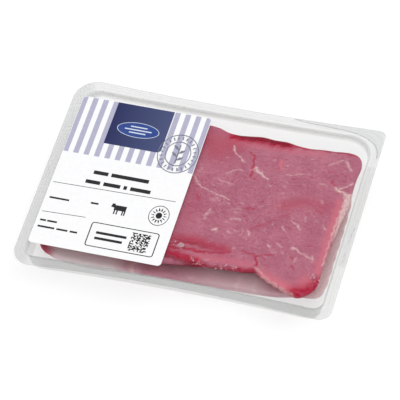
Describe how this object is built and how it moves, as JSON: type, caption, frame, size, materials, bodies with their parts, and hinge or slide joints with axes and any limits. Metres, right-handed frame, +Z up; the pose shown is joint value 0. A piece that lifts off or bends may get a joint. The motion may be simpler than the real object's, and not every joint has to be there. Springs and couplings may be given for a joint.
{
  "type": "meat tray pack",
  "caption": "Shallow clear deep-drawn tray of raw beef steaks, sealed with a clear lid film that carries a rectangular paper label at one end.",
  "frame": {"origin": "under the middle of the pack, on the surface it stands on", "axes": "+X along the long side, from the labelled end to the end with the peel corner; +Y away from the front edge; +Z up through the lid film"},
  "size_m": [0.242, 0.19, 0.0242],
  "materials": {
    "clear_plastic": "clear deep-drawn film, glossy, with a finely knurled seal on the flange",
    "clear_film": "clear taut lidding film, glossy",
    "label_paper": "satin coated paper, printed with stripes, a dark block and plain bars",
    "raw_beef": "moist raw beef, dusky pink, with fine pale fat veins and a cream fat rim"
  },
  "bodies": {
    "root": {"tray": "clear_plastic", "lid_film": "clear_film", "label": "label_paper", "steak_upper": "raw_beef", "steak_lower": "raw_beef"}
  },
  "joints": []
}
